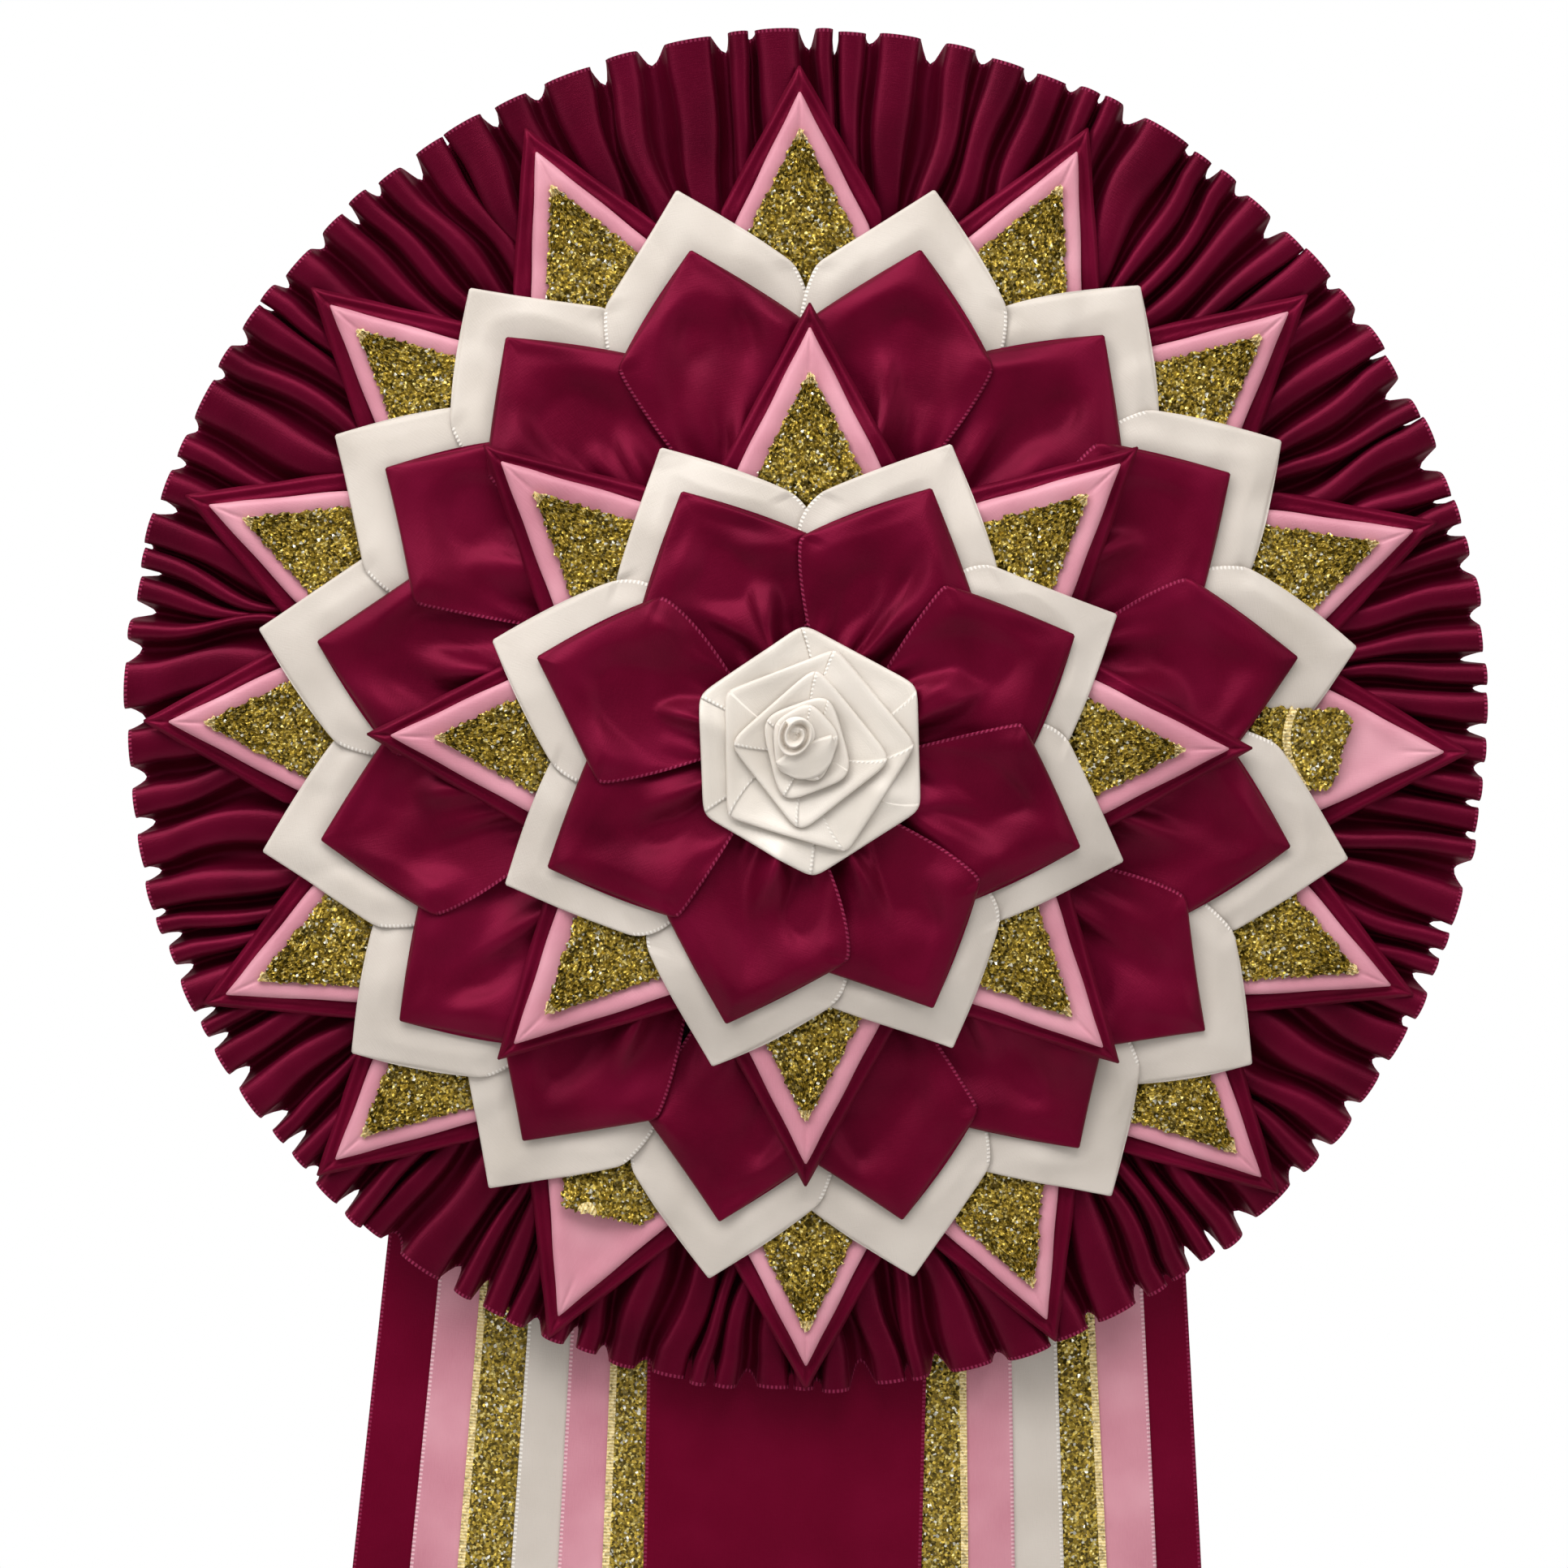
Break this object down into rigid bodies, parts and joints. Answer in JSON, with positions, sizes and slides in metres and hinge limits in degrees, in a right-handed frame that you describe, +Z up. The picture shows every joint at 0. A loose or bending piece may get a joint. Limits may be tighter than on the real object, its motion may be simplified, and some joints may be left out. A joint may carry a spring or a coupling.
{
  "type": "award rosette",
  "caption": "Large layered award rosette: a gathered satin ruffle with rings of folded ribbon points and petals round a rolled rose, hanging streamers and a bar pin.",
  "frame": {"origin": "middle of the bar pin's needle, behind the upper part of the head", "axes": "+Z up as it hangs, -Y the way the rosette faces, +X along the needle to its tip"},
  "size_m": [0.3598, 0.0575, 0.7019],
  "materials": {
    "burgundy_satin": "satin",
    "pink_satin": "satin",
    "ivory_satin": "satin",
    "gold_glitter": "metallic glitter",
    "felt": "matt felt",
    "card": "matt card",
    "pin_steel": "nickel plate"
  },
  "bodies": {
    "head": {"back_card": "card", "base_card": "card", "core_disc": "felt", "inner_petal_burgundy_1": "burgundy_satin", "inner_petal_burgundy_2": "burgundy_satin", "inner_petal_burgundy_3": "burgundy_satin", "inner_petal_burgundy_4": "burgundy_satin", "inner_petal_burgundy_5": "burgundy_satin", "inner_petal_burgundy_6": "burgundy_satin", "inner_petal_burgundy_7": "burgundy_satin", "inner_petal_burgundy_8": "burgundy_satin", "inner_petal_ivory_1": "ivory_satin", "inner_petal_ivory_2": "ivory_satin", "inner_petal_ivory_3": "ivory_satin", "inner_petal_ivory_4": "ivory_satin", "inner_petal_ivory_5": "ivory_satin", "inner_petal_ivory_6": "ivory_satin", "inner_petal_ivory_7": "ivory_satin", "inner_petal_ivory_8": "ivory_satin", "inner_points_burgundy": "burgundy_satin", "inner_points_gold": "gold_glitter", "inner_points_pink": "pink_satin", "outer_gold_blunt": "gold_glitter", "outer_gold_curled": "gold_glitter", "outer_petals_burgundy": "burgundy_satin", "outer_petals_ivory": "ivory_satin", "outer_points_burgundy": "burgundy_satin", "outer_points_gold": "gold_glitter", "outer_points_pink": "pink_satin", "pin_plate": "pin_steel", "pin_rivet": "pin_steel", "rose": "ivory_satin", "rose_pad": "felt", "ruffle": "burgundy_satin", "spacer_card": "card", "streamer_ends_burgundy": "burgundy_satin", "streamer_ends_gold": "gold_glitter", "streamer_ends_ivory": "ivory_satin", "streamer_ends_pink": "pink_satin", "tier_disc_inner": "felt", "tier_disc_middle": "felt", "tier_disc_outer": "felt"},
    "needle_arm": {"pin_needle": "pin_steel"},
    "catch_sleeve": {"catch_roller": "pin_steel"},
    "centre_tail": {"streamer_centre": "burgundy_satin"},
    "left_gold_inner_tail": {"streamer_left_gold_inner": "gold_glitter"},
    "left_pink_inner_tail": {"streamer_left_pink_inner": "pink_satin"},
    "left_ivory_tail": {"streamer_left_ivory": "ivory_satin"},
    "left_gold_outer_tail": {"streamer_left_gold_outer": "gold_glitter"},
    "left_pink_outer_tail": {"streamer_left_pink_outer": "pink_satin"},
    "left_burgundy_tail": {"streamer_left_burgundy": "burgundy_satin"},
    "right_gold_inner_tail": {"streamer_right_gold_inner": "gold_glitter"},
    "right_pink_inner_tail": {"streamer_right_pink_inner": "pink_satin"},
    "right_ivory_tail": {"streamer_right_ivory": "ivory_satin"},
    "right_gold_outer_tail": {"streamer_right_gold_outer": "gold_glitter"},
    "right_pink_outer_tail": {"streamer_right_pink_outer": "pink_satin"},
    "right_burgundy_tail": {"streamer_right_burgundy": "burgundy_satin"}
  },
  "joints": [
    {"name": "needle_hinge", "type": "hinge", "parent": "head", "child": "needle_arm", "pos_m": [-0.019, 0, 0], "axis": [0, 0, 1], "range_deg": [0, 60]},
    {"name": "catch_turn", "type": "hinge", "parent": "head", "child": "catch_sleeve", "pos_m": [0.018, 0, 0], "axis": [1, 0, 0], "range_deg": [0, 100]},
    {"name": "centre_tail_swing", "type": "hinge", "parent": "head", "child": "centre_tail", "pos_m": [0, -0.0052, -0.117], "axis": [1, 0, 0], "range_deg": [0, 45]},
    {"name": "left_gold_inner_tail_swing", "type": "hinge", "parent": "centre_tail", "child": "left_gold_inner_tail", "pos_m": [0, -0.0052, -0.117], "axis": [1, 0, 0], "range_deg": [0, 7]},
    {"name": "left_pink_inner_tail_swing", "type": "hinge", "parent": "left_gold_inner_tail", "child": "left_pink_inner_tail", "pos_m": [0, -0.0052, -0.117], "axis": [1, 0, 0], "range_deg": [0, 7]},
    {"name": "left_ivory_tail_swing", "type": "hinge", "parent": "left_pink_inner_tail", "child": "left_ivory_tail", "pos_m": [0, -0.0052, -0.117], "axis": [1, 0, 0], "range_deg": [0, 7]},
    {"name": "left_gold_outer_tail_swing", "type": "hinge", "parent": "left_ivory_tail", "child": "left_gold_outer_tail", "pos_m": [0, -0.0052, -0.117], "axis": [1, 0, 0], "range_deg": [0, 7]},
    {"name": "left_pink_outer_tail_swing", "type": "hinge", "parent": "left_gold_outer_tail", "child": "left_pink_outer_tail", "pos_m": [0, -0.0052, -0.117], "axis": [1, 0, 0], "range_deg": [0, 7]},
    {"name": "left_burgundy_tail_swing", "type": "hinge", "parent": "left_pink_outer_tail", "child": "left_burgundy_tail", "pos_m": [0, -0.0052, -0.117], "axis": [1, 0, 0], "range_deg": [0, 7]},
    {"name": "right_gold_inner_tail_swing", "type": "hinge", "parent": "centre_tail", "child": "right_gold_inner_tail", "pos_m": [0, -0.0052, -0.117], "axis": [1, 0, 0], "range_deg": [0, 7]},
    {"name": "right_pink_inner_tail_swing", "type": "hinge", "parent": "right_gold_inner_tail", "child": "right_pink_inner_tail", "pos_m": [0, -0.0052, -0.117], "axis": [1, 0, 0], "range_deg": [0, 7]},
    {"name": "right_ivory_tail_swing", "type": "hinge", "parent": "right_pink_inner_tail", "child": "right_ivory_tail", "pos_m": [0, -0.0052, -0.117], "axis": [1, 0, 0], "range_deg": [0, 7]},
    {"name": "right_gold_outer_tail_swing", "type": "hinge", "parent": "right_ivory_tail", "child": "right_gold_outer_tail", "pos_m": [0, -0.0052, -0.117], "axis": [1, 0, 0], "range_deg": [0, 7]},
    {"name": "right_pink_outer_tail_swing", "type": "hinge", "parent": "right_gold_outer_tail", "child": "right_pink_outer_tail", "pos_m": [0, -0.0052, -0.117], "axis": [1, 0, 0], "range_deg": [0, 7]},
    {"name": "right_burgundy_tail_swing", "type": "hinge", "parent": "right_pink_outer_tail", "child": "right_burgundy_tail", "pos_m": [0, -0.0052, -0.117], "axis": [1, 0, 0], "range_deg": [0, 7]}
  ]
}
